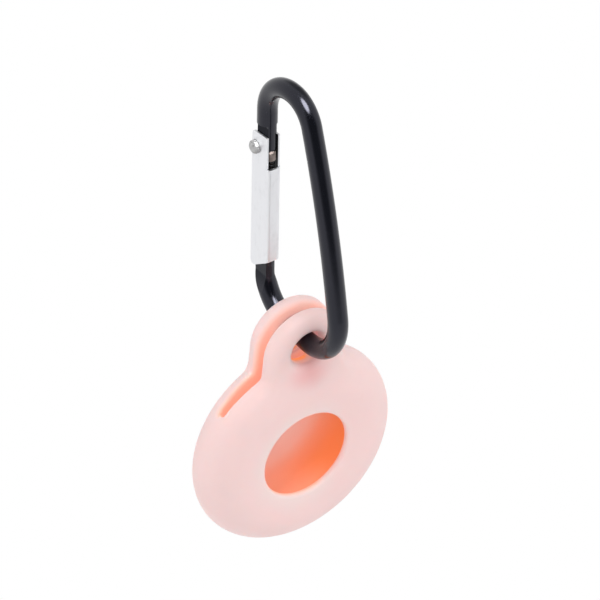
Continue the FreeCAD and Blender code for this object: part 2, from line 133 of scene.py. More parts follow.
class PouchSizes(bpy.types.PropertyGroup):
    """Sizes of the silicone moulding."""

    radius: millimetres("Pouch radius", "From the middle of the pouch to its rim", 21.25)
    half_thickness: millimetres("Half thickness", "From mid-thickness to the crest round the window", 5.8)
    crest_radius: millimetres("Crest radius", "Where the front is highest", 14.5)
    dish_radius: millimetres("Dish radius", "How gently the front falls from the crest to the window", 50.0)
    window_radius: millimetres("Window radius", "Round opening in front of the tag", 9.3)
    window_edge: millimetres("Window edge", "Roundness of the window's edge", 0.55)
    pocket_radius: millimetres("Pocket radius", "Room for the tag", 16.1)
    pocket_half_depth: millimetres("Pocket half depth", "Half of the room for the tag's thickness", 4.15)
    pocket_flat: millimetres("Pocket flat", "Radius inside which the pocket's two faces are flat", 10.0)
    ear_radius: millimetres("Ear radius", "Round end of the two flaps", 8.6)
    ear_rise: millimetres("Ear rise", "From the pouch's middle to the ear's", 23.9)
    ear_flare: FloatProperty(name="Ear flare", description="Lean of the ear's straight flanks",
                             default=math.radians(2.0), unit="ROTATION")
    ear_half_thickness: millimetres("Ear half thickness", "Half of the two flaps together", 4.6)
    ear_edge: millimetres("Ear edge", "Roundness of the flaps' outer edge", 2.4)
    neck_radius: millimetres("Neck radius", "Hollow between the ear and the rim", 5.0)
    neck_circle: millimetres("Neck circle", "Circle just inside the rim that the neck runs into", 19.7)
    neck_blend: millimetres("Neck blend", "Softness of the step from the ear to the pouch, in front", 3.0)
    back_blend: millimetres("Back blend", "Softness of that step at the back", 0.45)
    hole_radius: millimetres("Ear hole radius", "Hole that the rod runs through", 3.8)
    hole_rise: millimetres("Ear hole rise", "From the pouch's middle to the hole's", 24.9)
    hole_edge: millimetres("Ear hole edge", "Roundness of the hole's edge", 1.3)
    mouth_half_gap: millimetres("Mouth half gap", "Half of the gap between the two flaps", 1.1)
    mouth_edge: millimetres("Mouth edge", "Roundness of the front flap's lip", 0.5)
    mouth_back_edge: millimetres("Mouth back edge", "Roundness of the back flap's lip", 1.1)
    mouth_angle: FloatProperty(name="Mouth angle", description="How far the mouth runs down each side",
                               default=math.radians(53.0), unit="ROTATION")
    grid: millimetres("Grid", "Spacing of the grid on which the moulding is worked out", 0.3)


class SpringSizes(bpy.types.PropertyGroup):
    """Sizes of the gate's spring."""

    wire: millimetres("Wire", "Thickness of the spring's wire", 0.3)
    turns: IntProperty(name="Turns", description="Turns of the wire", default=10, min=1)
    steps: IntProperty(name="Steps", description="Rings of points in each turn", default=32, min=8)
    sides: IntProperty(name="Sides", description="Points in each ring", default=12, min=6)


class Finishes(bpy.types.PropertyGroup):
    """Colours and gloss of the materials."""

    silicone: colour("Silicone", "Pale pink of the outside", (0.825, 0.65, 0.635))
    # painted light: a paler band round the window, where the dish's slope catches the light
    silicone_window_painted_light: colour("Silicone lip", "Paler tone round the window", (0.82, 0.705, 0.685))
    # painted shade: a soft deeper-pink shade below the ear hole, under the rod
    silicone_painted_shade: colour("Silicone blush", "Deeper pink below the ear hole", (0.82, 0.49, 0.485))
    # painted light: the warm orange that light takes on through the silicone, painted deep in the pocket and the
    # mouth
    silicone_inside_painted_glow: colour("Silicone inside", "Warm tone deep in the pocket and the mouth",
                            (0.86, 0.32, 0.15))
    silicone_bloom: colour("Silicone bloom", "Light that spreads under the outer skin", (0.055, 0.012, 0.012))
    silicone_faint_glow: colour("Silicone faint glow", "Light through a thin wall, as in the mouth",
                                (0.225, 0.125, 0.1))
    silicone_hole_glow: colour("Silicone hole glow", "Light through the wall below the ear hole",
                               (0.5, 0.12, 0.03))
    silicone_glow: colour("Silicone glow", "Light through a thick wall, as in the pocket",
                          (0.155, 0.058, 0.01))
    rod: colour("Rod coating", "Black coating of the carabiner", (0.004, 0.0045, 0.007))
    rod_shine: colour("Rod shine", "Bluish tint of what the coating mirrors", (0.83, 0.83, 1.0))
    rod_gloss: share("Rod roughness", "Low is glossier", 0.13)
    gate: colour("Gate sheet", "Bare aluminium of the gate", (0.83, 0.835, 0.86))
    # painted shade: near black inside the gate's channel, where it lies in shade
    gate_channel_painted_shade: colour("Gate inside", "Grime in the gate's channel", (0.06, 0.06, 0.065))
    rivet: colour("Rivet", "Bright steel of the rivet", (0.54, 0.54, 0.54))
    plunger: colour("Plunger", "Turned steel of the plunger", (0.30, 0.25, 0.23))
    spring: colour("Spring wire", "Dark drawn wire of the spring", (0.03, 0.03, 0.032))


class StageSizes(bpy.types.PropertyGroup):
    """Floor and light."""

    floor_drop: millimetres("Floor drop", "From the pouch's lowest point to the floor", 100.0)
    ambient: share("Ambient light", "Strength of the even light from all round", 0.65)


class Value:
    """A number, colour or shader that a node puts out; sums and products of it add Math nodes."""

    def __init__(self, sheet, socket):
        self.sheet = sheet
        self.socket = socket

    def math(self, operation, *terms):
        return self.sheet.add("ShaderNodeMath", {"operation": operation}, dict(enumerate(terms)))

    def __add__(self, other):
        return self.math("ADD", self, other)

    def __radd__(self, other):
        return self.math("ADD", other, self)

    def __sub__(self, other):
        return self.math("SUBTRACT", self, other)

    def __rsub__(self, other):
        return self.math("SUBTRACT", other, self)

    def __mul__(self, other):
        return self.math("MULTIPLY", self, other)

    def __rmul__(self, other):
        return self.math("MULTIPLY", other, self)

    def __truediv__(self, other):
        return self.math("DIVIDE", self, other)

    def __rtruediv__(self, other):
        return self.math("DIVIDE", other, self)

    def __neg__(self):
        return self.math("MULTIPLY", self, -1.0)

    def __abs__(self):
        return self.math("ABSOLUTE", self)

    def __gt__(self, other):
        return self.math("GREATER_THAN", self, other)

    def root(self):
        return self.math("SQRT", self)

    def least(self, other):
        return self.math("MINIMUM", self, other)

    def most(self, other):
        return self.math("MAXIMUM", self, other)

    def ramp(self, low, high):
        """Smoothly from 0 at low to 1 at high."""
        return self.sheet.add("ShaderNodeMapRange", {"interpolation_type": "SMOOTHSTEP"},
                              {0: self, 1: low, 2: high, 3: 0.0, 4: 1.0})


class NodeSheet:
    """A node tree that is filled by calls."""

    def __init__(self, tree):
        self.tree = tree

    def add(self, kind, settings, sockets, out=0):
        """A node: its settings first, then the values or links of its sockets."""
        node = self.tree.nodes.new(kind)
        for name, value in settings.items():
            setattr(node, name, value)
        for key, value in sockets.items():
            if isinstance(value, Value):
                self.tree.links.new(value.socket, node.inputs[key])
            else:
                node.inputs[key].default_value = value
        return Value(self, node.outputs[out]) if len(node.outputs) else None

    def blend(self, factor, first, second):
        """A colour between two colours."""
        return self.add("ShaderNodeMix", {"data_type": "RGBA"}, {0: factor, 6: first, 7: second}, out=2)

    def noise(self, vector, scale, detail=3.0, roughness=0.5):
        """Soft random pattern, between 0 and 1."""
        return self.add("ShaderNodeTexNoise", {},
                        {"Vector": vector, "Scale": scale, "Detail": detail, "Roughness": roughness})

    def bump(self, height, strength, distance):
        """Small relief in a surface."""
        return self.add("ShaderNodeBump", {}, {"Height": height, "Strength": strength, "Distance": distance})

    def place(self):
        """Where a point is on its piece."""
        return self.add("ShaderNodeTexCoord", {}, {}, out="Object")

    def along(self, vector, axis):
        """How far a vector goes along an axis."""
        return self.add("ShaderNodeVectorMath", {"operation": "DOT_PRODUCT"}, {0: vector, 1: axis},
                        out="Value")

    def from_hinge(self, place, axis):
        """How far a place is from the gate's hinge along an axis."""
        return self.along(place, axis) - Vector(HINGE["pos_m"]).dot(Vector(axis))


def opaque(rgb):
    """A colour with full cover."""
    return (*rgb, 1.0)


def scaled(rgb, factor):
    """A colour made paler or darker, with full cover."""
    return opaque(min(1.0, part * factor) for part in rgb)


def stand(scene, name, data):
    """A new object in the scene, at the origin."""
    item = bpy.data.objects.new(name, data)
    scene.collection.objects.link(item)
    return item


def start_material(name):
    """An empty material and the sheet that fills it."""
    material = bpy.data.materials.new(name)
    material.use_nodes = True
    material.node_tree.nodes.clear()
    return material, NodeSheet(material.node_tree)


def surface(sheet, **sockets):
    """The surface shader; a name's underscores stand for spaces."""
    named = {key.replace("_", " "): value for key, value in sockets.items()}
    return sheet.add("ShaderNodeBsdfPrincipled", {}, named)


def close_material(sheet, shader):
    """Send a shader to the material's output."""
    sheet.add("ShaderNodeOutputMaterial", {}, {"Surface": shader})


def silicone_finish(tints):
    """Matte moulded silicone, warmer where light comes through it."""
    material, sheet = start_material("silicone_finish")
    place = sheet.place()
    deep, thin, lip, hole_shade = (sheet.add("ShaderNodeAttribute", {"attribute_name": name}, {}, out="Fac")
                              for name in ("deep", "thin", "lip", "hole_shade"))
    mottle = sheet.noise(place, scale=160.0)
    grain = sheet.noise(place, scale=5200.0, detail=2.0)
    skin = sheet.blend(mottle, opaque(tints.silicone), scaled(tints.silicone, 1.05))
    # painted light: a paler band round the window
    skin = sheet.blend(lip, skin, opaque(tints.silicone_window_painted_light))
    # painted shade: deeper pink below the ear hole
    skin = sheet.blend(hole_shade, skin, opaque(tints.silicone_painted_shade))
    # painted light: the warm orange of light through the silicone, blended in where the deep and thin masks say
    # light comes through
    tone = sheet.blend(deep.most(thin), skin, opaque(tints.silicone_inside_painted_glow))
    glow = sheet.blend((FAINT_GAIN * thin).least(1.0), opaque(tints.silicone_bloom),
                       opaque(tints.silicone_faint_glow))
    glow = sheet.blend(thin.ramp(*HOLE_LIGHT), glow, opaque(tints.silicone_hole_glow))
    glow = sheet.blend(deep, glow, opaque(tints.silicone_glow))
    close_material(sheet, surface(
        sheet, Base_Color=tone, Roughness=0.5 + 0.12 * mottle, Specular_IOR_Level=0.35,
        Subsurface_Weight=0.45, Subsurface_Radius=(1.0, 0.5, 0.4), Subsurface_Scale=0.003,
        Emission_Color=glow, Emission_Strength=1.0,
        Normal=sheet.bump(grain, strength=0.08, distance=0.00005)))
    return material


def rod_finish(tints):
    """Satin black coating with a faint orange peel, and painted shade as a matte near black on the flats of the
    tongue and the nose.
    """
    material, sheet = start_material("rod_finish")
    place = sheet.place()
    peel = sheet.noise(place, scale=900.0, detail=2.0)
    handling = sheet.noise(place, scale=140.0, detail=4.0, roughness=0.6)
    worn = scaled(tints.rod, 1.8)
    tone = sheet.blend(handling.ramp(0.55, 0.75), opaque(tints.rod), worn)
    coat = surface(sheet, Base_Color=tone, Roughness=tints.rod_gloss + 0.08 * handling,
                   Specular_IOR_Level=0.47, Specular_Tint=opaque(tints.rod_shine),
                   Normal=sheet.bump(peel, strength=0.06, distance=0.0001))
    # painted shade: a matte near black mixed over the coating on the flats, taking off their reflections where
    # they lie in shade
    painted_shade_matte = sheet.add("ShaderNodeBsdfDiffuse", {}, {"Color": worn})
    height = sheet.along(place, Z)
    at_gate = sheet.along(place, Y).ramp(*GATE_SIDE) * height.ramp(*NOSE_FOOT) \
        * (1.0 - height.ramp(*TONGUE_TOP))
    below = sheet.from_hinge(place, SLIDE["axis"]) - RUNOUT_START
    past_flat = abs(sheet.along(place, X)) - (TONGUE_HALF + RUNOUT_SLOPE * below.most(0.0))
    on_flat = 1.0 - abs(past_flat).ramp(*FLAT_BAND)
    flat_painted_shade = (TONGUE_PAINTED_SHADE - NOSE_LESS_SHADE * below.ramp(*NOSE_TOP)) * on_flat * at_gate
    close_material(sheet, sheet.add("ShaderNodeMixShader", {}, {0: flat_painted_shade, 1: coat, 2: painted_shade_matte}))
    return material


def along_gate(sheet, stretch):
    """Place on the gate, turned to run along it and stretched."""
    return sheet.add("ShaderNodeMapping", {},
                     {"Vector": sheet.place(), "Rotation": (GATE_LEAN, 0.0, 0.0), "Scale": stretch})


def gate_finish(tints):
    """Bare rolled sheet: fine lines along the gate, a few scuffs, and painted shade that darkens the channel."""
    material, sheet = start_material("gate_finish")
    lines = sheet.noise(along_gate(sheet, stretch=(3000.0, 3000.0, 60.0)), scale=1.0)
    scuffs = sheet.noise(along_gate(sheet, stretch=(700.0, 700.0, 380.0)), scale=1.0, detail=4.0,
                         roughness=0.65)
    tone = sheet.blend(scuffs.ramp(0.5, 0.85), opaque(tints.gate), scaled(tints.gate, 0.9))
    place = sheet.place()
    # painted shade: the channel between the walls, beyond the web, is darkened
    between_walls = 1.0 - abs(sheet.along(place, X)).ramp(*CHANNEL_HALF)
    inside = between_walls * sheet.from_hinge(place, GATE_ACROSS).ramp(*WEB_INSIDE)
    tone = sheet.blend(inside, tone, opaque(tints.gate_channel_painted_shade))
    close_material(sheet, surface(sheet, Base_Color=tone, Metallic=0.9,
                                  Roughness=0.3 + 0.16 * lines + 0.1 * scuffs,
                                  Normal=sheet.bump(lines, strength=0.12, distance=0.00004)))
    return material


def turned_finish(name, tint, centre, rotation, rough):
    """Steel with the rings that turning leaves."""
    material, sheet = start_material(name)
    local = sheet.add("ShaderNodeMapping", {"vector_type": "TEXTURE"},
                      {"Vector": sheet.place(), "Location": centre, "Rotation": rotation})
    rings = sheet.add("ShaderNodeTexWave", {"wave_type": "RINGS", "rings_direction": "Z"},
                      {"Vector": local, "Scale": 1400.0, "Distortion": 1.5}, out="Fac")
    tarnish = sheet.noise(local, scale=1300.0)
    tone = sheet.blend(tarnish.ramp(0.45, 0.75), opaque(tint), scaled(tint, 0.7))
    close_material(sheet, surface(sheet, Base_Color=tone, Metallic=1.0, Roughness=rough + 0.12 * tarnish,
                                  Normal=sheet.bump(rings, strength=0.1, distance=0.00003)))
    return material


def wire_finish(tints):
    """Dark drawn wire, with fine lines along it."""
    material, sheet = start_material("spring_finish")
    along_wire = sheet.add("ShaderNodeTexCoord", {}, {}, out="UV")
    stretched = sheet.add("ShaderNodeMapping", {}, {"Vector": along_wire, "Scale": (500.0, 14.0, 1.0)})
    lines = sheet.noise(stretched, scale=1.0)
    tone = sheet.blend(lines.ramp(0.45, 0.75), opaque(tints.spring), scaled(tints.spring, 1.6))
    close_material(sheet, surface(sheet, Base_Color=tone, Metallic=1.0, Roughness=0.28 + 0.14 * lines,
                                  Normal=sheet.bump(lines, strength=0.1, distance=0.00002)))
    return material


def dress(node, material):
    """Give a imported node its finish."""
    slots = NODES[node].data.materials
    slots.clear()
    slots.append(material)


class MouldingTree:
    """Node group that works the pouch out as a distance to its skin, and meshes where that is zero."""

    INPUTS = ("radius", "half_thickness", "crest_radius", "dish_radius", "window_radius", "window_edge",
              "pocket_radius", "pocket_half_depth", "pocket_flat", "ear_radius", "ear_rise",
              "ear_half_thickness", "ear_edge", "neck_radius", "neck_circle", "neck_blend", "back_blend",
              "hole_radius", "hole_rise", "hole_edge", "mouth_half_gap", "mouth_edge", "mouth_back_edge",
              "mouth_angle")
    DERIVED = ("flank_across", "flank_up", "neck_across", "neck_up", "neck_down")

    # room for the moulding round its middle, in metres, and the density that is worked out in it
    GRID_LOW, GRID_HIGH = (-0.0235, -0.0075, -0.0235), (0.0235, 0.0075, 0.0345)
    SKIN_DENSITY, DENSITY_FALL = 0.5, 1000.0  # at the skin, and the fall per metre outwards

    # the mouth is nearly shut on the right, and narrows towards its end
    SHUT_SHARE, TAPER_SHARE, TAPER_LENGTH = 0.9, 0.3, 0.01

    # lengths over which light begins to come through or ends, in metres
    POCKET_WALL = (0.0001, 0.0006)
    HOLE_WALL = (0.0002, 0.0006)
    HOLE_DEPTH = (0.0003, 0.0025)
    HOLE_FRONT = (0.0015, 0.004)
    HOLE_ROUND = (0.0005, 0.0022)
    MOUTH_DEPTH = (0.0, 0.0011)
    MOUTH_LIP = (-0.0002, 0.0009)

    # how much of it: in the mouth's lower end, less at its top, in all of the pocket, less low down in it
    MOUTH_LIGHT, MOUTH_TOP_LESS, POCKET_LIGHT, POCKET_LOW_LESS = 0.68, 0.43, 0.22, 0.26
    WARM_CORNER = (0.75, -0.66)  # across and up, from the pocket's middle

    def __init__(self, material):
        self.tree = bpy.data.node_groups.new("pouch_moulding", "GeometryNodeTree")
        self.sheet = NodeSheet(self.tree)
        self.identifiers = {}
        for name in self.INPUTS + self.DERIVED:
            socket = self.tree.interface.new_socket(name, in_out="INPUT", socket_type="NodeSocketFloat")
            self.identifiers[name] = socket.identifier
        self.tree.interface.new_socket("Geometry", in_out="OUTPUT", socket_type="NodeSocketGeometry")
        entry = self.tree.nodes.new("NodeGroupInput")
        self.sizes = {name: Value(self.sheet, entry.outputs[name]) for name in self.identifiers}
        self.build(material)

    def hypot(self, first, second):
        return (first * first + second * second).root()

    def rounded(self, across, along, edge):
        """Distance to a region that two distances bound, with its edge rounded."""
        across, along = across + edge, along + edge
        outside = self.hypot(across.most(0.0), along.most(0.0))
        return outside + across.most(along).least(0.0) - edge

    def cut(self, solid, tool, edge):
        """Distance to a solid without a tool's room, with the new edge rounded."""
        near = self.hypot((solid + edge).most(0.0), (edge - tool).most(0.0))
        return solid.most(-tool).least(-edge) + near

    def lens(self, ring, front, radius, flat, thick):
        """Distance to a round slab, flat in the middle and elliptic beyond that."""
        tiny = 1e-6
        across, high = radius - flat, abs(front) + tiny
        over = (ring - flat).most(0.0)
        stretch = self.hypot(over / across, high / thick)
        slope = self.hypot(over / (across * across), high / (thick * thick))
        return stretch * (stretch - 1.0) / slope

    def rim(self, ring, front):
        """Pouch: an elliptic rim outside the crest, flat behind and dished in front."""
        s = self.sizes
        fall = (s["crest_radius"] - ring).most(0.0)
        dish = (front > 0.0) * fall * fall / (2.0 * s["dish_radius"])
        return self.lens(ring, front, s["radius"], s["crest_radius"], s["half_thickness"]) + dish

    def ear(self, side, up, ring, front):
        """Ear: a round plate with straight flanks, whose hollow neck runs into the rim."""
        s = self.sizes
        rise = up - s["ear_rise"]
        outward = side * s["flank_across"] + rise * s["flank_up"]
        downward = side * s["flank_up"] - rise * s["flank_across"]
        low = downward > 0.0
        plate = (low * outward + (1.0 - low) * self.hypot(side, rise) - s["ear_radius"]).most(-up)
        disc = ring - s["neck_circle"]
        hollow = s["neck_radius"] - self.hypot(side - s["neck_across"], up - s["neck_up"])
        above = (s["neck_across"] * up - s["neck_up"] * side) > 0.0
        beside = above * (downward > s["neck_down"])
        outline = beside * hollow + (1.0 - beside) * plate.least(disc)
        return self.rounded(outline, abs(front) - s["ear_half_thickness"], s["ear_edge"])

    def deep(self, across, up, ring, pocket):
        """How much warm light reaches the pocket's walls: most round its edge and low on the right."""
        s = self.sizes
        away = 0.5 * (ring + self.WARM_CORNER[0] * across + self.WARM_CORNER[1] * up)
        corner = away.ramp(0.25 * s["pocket_flat"], 1.6 * s["pocket_flat"])
        low = (-up).ramp(s["pocket_flat"], s["pocket_radius"])
        return (1.0 - pocket.ramp(*self.POCKET_WALL)) * (corner - self.POCKET_LOW_LESS * low).most(0.0)

    def thin(self, across, up, front, depth, pocket, hole, mouth):
        """How much light comes through in the mouth and the ear hole, and a little in the pocket."""
        s = self.sizes
        at_hole = 1.0 - abs(hole).ramp(*self.HOLE_WALL)
        under_rod = 1.0 - (up - s["hole_rise"]).ramp(0.0, 0.6 * s["hole_radius"])
        beside_rod = 1.0 - across.ramp(0.1 * s["hole_radius"], 0.8 * s["hole_radius"])
        far_in = depth.ramp(*self.HOLE_DEPTH) * (1.0 - front.ramp(*self.HOLE_FRONT))
        in_hole = at_hole * far_in * under_rod * beside_rod
        height = up.ramp(s["neck_circle"], s["ear_rise"] + s["ear_radius"])
        outside = pocket.ramp(*self.POCKET_WALL)
        off_hole = abs(hole).ramp(*self.HOLE_ROUND)
        above_hole = up.ramp(s["hole_rise"], s["hole_rise"] + s["hole_radius"])
        shut_side = across.ramp(0.35 * s["ear_radius"], 0.6 * s["ear_radius"]) * (1.0 - above_hole)
        back_lip = (1.0 - mouth.ramp(*self.MOUTH_LIP)) * (-front > 0.0)
        between = depth.ramp(*self.MOUTH_DEPTH).most(back_lip)
        light = self.MOUTH_LIGHT - self.MOUTH_TOP_LESS * height
        in_mouth = off_hole * outside * (1.0 - shut_side) * between * light
        return in_mouth.most(in_hole).most(self.POCKET_LIGHT * (1.0 - outside))

    def hole_shade(self, side, up, front):
        """How near the front is to the spot below the ear hole where pink shade is painted, over the thin wall
        between the hole and the pocket.
        """
        s, narrowing, reach = self.sizes, 0.7, 1.2
        away = self.hypot(narrowing * side, up - s["neck_circle"])
        return (1.0 - away.ramp(0.0, reach * s["hole_radius"])) * (front > 0.0)

    def lip(self, across, ring, front):
        """Where the front gets a paler band of painted light round the window's edge, but not on its right side.
        """
        reach = self.sizes["window_radius"]
        near = 1.0 - ring.ramp(reach, 1.5 * reach)
        return near * (1.0 - across.ramp(0.4 * reach, 0.95 * reach)) * (front > 0.0)

    def build(self, material):
        s, sheet = self.sizes, self.sheet
        spot = sheet.add("GeometryNodeInputPosition", {}, {})
        local = sheet.add("ShaderNodeVectorMath", {"operation": "SUBTRACT"}, {0: spot, 1: POUCH_CENTRE})
        parts = self.tree.nodes.new("ShaderNodeSeparateXYZ")
        self.tree.links.new(local.socket, parts.inputs[0])
        across = Value(sheet, parts.outputs[0])
        side = abs(across)
        front = -Value(sheet, parts.outputs[1])
        up = Value(sheet, parts.outputs[2])
        ring = self.hypot(side, up)

        forward = front.ramp(0.0, s["ear_half_thickness"])
        soft = s["back_blend"] + (s["neck_blend"] - s["back_blend"]) * forward
        blend = soft * up.ramp(0.7 * s["crest_radius"], 1.25 * s["crest_radius"])
        pouch = self.rim(ring, front)
        skin = pouch.math("SMOOTH_MIN", pouch, self.ear(side, up, ring, front), blend)
        pocket = self.lens(ring, front, s["pocket_radius"], s["pocket_flat"], s["pocket_half_depth"])
        window = (ring - s["window_radius"]).most(-front)
        past_end = side * s["mouth_angle"].math("COSINE", s["mouth_angle"]) \
            - up * s["mouth_angle"].math("SINE", s["mouth_angle"])
        shut = 1.0 - self.SHUT_SHARE * across.ramp(0.5 * s["ear_radius"], 1.3 * s["ear_radius"])
        taper = 1.0 - self.TAPER_SHARE * past_end.ramp(-self.TAPER_LENGTH, 0.0)
        gap = s["mouth_half_gap"] * shut * taper
        mouth = self.hypot((past_end + gap).most(0.0), front) - gap
        hole = self.hypot(side, up - s["hole_rise"]) - s["hole_radius"]

        solid = self.cut(skin, hole, s["hole_edge"])
        solid = self.cut(solid, pocket, s["mouth_edge"])
        behind = (-front).ramp(0.0, s["mouth_half_gap"])
        edge = s["mouth_edge"] + (s["mouth_back_edge"] - s["mouth_edge"]) * behind
        solid = self.cut(solid, mouth, edge * shut)
        solid = self.cut(solid, window, s["window_edge"])

        counts = [round((high - low) / bpy.context.scene.pouch_sizes.grid) + 1
                  for low, high in zip(self.GRID_LOW, self.GRID_HIGH)]
        grid = sheet.add("GeometryNodeVolumeCube", {}, {
            "Density": self.SKIN_DENSITY - self.DENSITY_FALL * solid, "Background": 0.0,
            "Min": POUCH_CENTRE + Vector(self.GRID_LOW), "Max": POUCH_CENTRE + Vector(self.GRID_HIGH),
            "Resolution X": counts[0], "Resolution Y": counts[1], "Resolution Z": counts[2]})
        mesh = sheet.add("GeometryNodeVolumeToMesh", {"resolution_mode": "GRID"},
                         {"Volume": grid, "Threshold": self.SKIN_DENSITY, "Adaptivity": 0.0})
        tagged = sheet.add("GeometryNodeSetShadeSmooth", {}, {"Geometry": mesh, "Shade Smooth": True})
        for name, value in (("deep", self.deep(across, up, ring, pocket)),
                            ("thin", self.thin(across, up, front, -skin, pocket, hole, mouth)),
                            ("lip", self.lip(across, ring, front)),
                            ("hole_shade", self.hole_shade(side, up, front))):
            tagged = sheet.add("GeometryNodeStoreNamedAttribute", {"data_type": "FLOAT", "domain": "POINT"},
                               {"Geometry": tagged, "Name": name, "Value": value})
        real = sheet.add("GeometryNodeRealizeInstances", {}, {"Geometry": tagged})
        done = sheet.add("GeometryNodeSetMaterial", {}, {"Geometry": real, "Material": material})
        exit_node = self.tree.nodes.new("NodeGroupOutput")
        self.tree.links.new(done.socket, exit_node.inputs[0])


class TAGPOUCH_OT_pouch(bpy.types.Operator):
    """Make the silicone pouch with its window, mouth and ear"""

    bl_idname = "tag_pouch.pouch"
    bl_label = "Silicone pouch"

    def execute(self, context):
        sizes = context.scene.pouch_sizes
        material = silicone_finish(context.scene.pouch_finishes)
        moulding = MouldingTree(material)
        reach, plate = sizes.neck_circle + sizes.neck_radius, sizes.ear_radius + sizes.neck_radius
        outward = Vector((math.cos(sizes.ear_flare), math.sin(sizes.ear_flare)))
        downward = Vector((outward.y, -outward.x))
        start = Vector((0.0, sizes.ear_rise)) + plate * outward
        slack = sizes.ear_rise * outward.x
        down = slack - math.sqrt(slack ** 2 - start.length_squared + reach ** 2)
        neck = start + down * downward
        values = {name: getattr(sizes, name) for name in MouldingTree.INPUTS}
        values.update(flank_across=outward.x, flank_up=outward.y, neck_across=neck.x, neck_up=neck.y,
                      neck_down=down)

        maker = stand(context.scene, "pouch_maker", bpy.data.meshes.new("pouch_maker"))
        modifier = maker.modifiers.new("moulding", "NODES")
        modifier.node_group = moulding.tree
        for name, value in values.items():
            modifier[moulding.identifiers[name]] = value
        context.view_layer.update()
        ready = maker.evaluated_get(context.evaluated_depsgraph_get())
        mesh = bpy.data.meshes.new_from_object(ready)
        if not mesh.polygons:
            raise RuntimeError("the pouch came out empty")
        mesh.name = "moulded_pouch"
        bpy.data.objects.remove(maker)
        pouch = stand(context.scene, "moulded_pouch", mesh)
        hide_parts("silicone_holder")
        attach(pouch, "pouch")
        return {"FINISHED"}


class TAGPOUCH_OT_rod(bpy.types.Operator):
    """Give the bent rod its black coating"""

    bl_idname = "tag_pouch.rod"
    bl_label = "Carabiner rod"

    def execute(self, context):
        dress("carabiner_frame", rod_finish(context.scene.pouch_finishes))
        return {"FINISHED"}


class TAGPOUCH_OT_gate(bpy.types.Operator):
    """Give the folded gate its bare sheet"""

    bl_idname = "tag_pouch.gate"
    bl_label = "Gate"

    def execute(self, context):
        dress("gate", gate_finish(context.scene.pouch_finishes))
        return {"FINISHED"}


class TAGPOUCH_OT_hinge(bpy.types.Operator):
    """Give the rivet and the plunger their steel"""

    bl_idname = "tag_pouch.hinge"
    bl_label = "Hinge steel"

    def execute(self, context):
        tints = context.scene.pouch_finishes
        low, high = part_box("spring_plunger")
        pin = (Vector(low) + Vector(high)) / 2
        dress("hinge_rivet", turned_finish("rivet_finish", tints.rivet, HINGE["pos_m"],
                                           (0.0, math.pi / 2, 0.0), rough=0.6))
        dress("spring_plunger", turned_finish("plunger_finish", tints.plunger, pin,
                                              (-GATE_LEAN, 0.0, 0.0), rough=0.5))
        return {"FINISHED"}


class TAGPOUCH_OT_spring(bpy.types.Operator):
    """Wind the gate's spring at one length; the real one shortens as the plunger goes in"""

    bl_idname = "tag_pouch.spring"
    bl_label = "Gate spring"

    def execute(self, context):
        sizes = context.scene.pouch_spring
        up = -Vector(SLIDE["axis"]).normalized()
        corners = [vertex.co for vertex in NODES["gate_spring"].data.vertices]
        heights = [up.dot(corner) for corner in corners]
        widths = [GATE_ACROSS.dot(corner) for corner in corners]
        half_wire = sizes.wire / 2
        coil = max(corner.x for corner in corners) - half_wire
        middle = GATE_ACROSS * (min(widths) + max(widths)) / 2
        low, high = min(heights), max(heights)
        points, faces, marks = self.wind(sizes, coil, half_wire, high - low - sizes.wire)
        base = middle + up * (low + half_wire)

        mesh = bpy.data.meshes.new("wound_spring")
        mesh.from_pydata([base + Vector((x, 0.0, 0.0)) + GATE_ACROSS * y + up * z for x, y, z in points],
                         [], faces)
        for polygon in mesh.polygons:
            polygon.use_smooth = True
        layer = mesh.uv_layers.new(name="along_wire")
        for loop in mesh.loops:
            layer.data[loop.index].uv = marks[loop.vertex_index]
        mesh.materials.append(wire_finish(context.scene.pouch_finishes))
        spring = stand(context.scene, "wound_spring", mesh)
        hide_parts("gate_spring")
        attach(spring, "gate")
        tuple(middle + up * low)
        1.0 - SLIDE["range_m"][1] / (high - low)
        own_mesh(spring)
        return {"FINISHED"}

    def wind(self, sizes, coil, half_wire, rise):
        """Points and faces of a helix of wire, and how far along and round it each point lies."""
        count = sizes.turns * sizes.steps
        slope = math.atan2(rise, 2 * math.pi * coil * sizes.turns)
        points, faces, marks = [], [], []
        for step in range(count + 1):
            turn = 2 * math.pi * step / sizes.steps
            centre = Vector((coil * math.cos(turn), coil * math.sin(turn), rise * step / count))
            outward = Vector((math.cos(turn), math.sin(turn), 0.0))
            upward = Vector((math.sin(turn) * math.sin(slope), -math.cos(turn) * math.sin(slope),
                             math.cos(slope)))
            for side in range(sizes.sides):
                angle = 2 * math.pi * side / sizes.sides
                points.append(centre + half_wire * (math.cos(angle) * outward + math.sin(angle) * upward))
                marks.append((coil * turn, side / sizes.sides))
        for step in range(count):
            here, ahead = step * sizes.sides, (step + 1) * sizes.sides
            for side in range(sizes.sides):
                beside = (side + 1) % sizes.sides
                faces.append((here + side, ahead + side, ahead + beside, here + beside))
        faces.append(tuple(range(sizes.sides)))
        faces.append(tuple(count * sizes.sides + side for side in reversed(range(sizes.sides))))
        return points, faces, marks


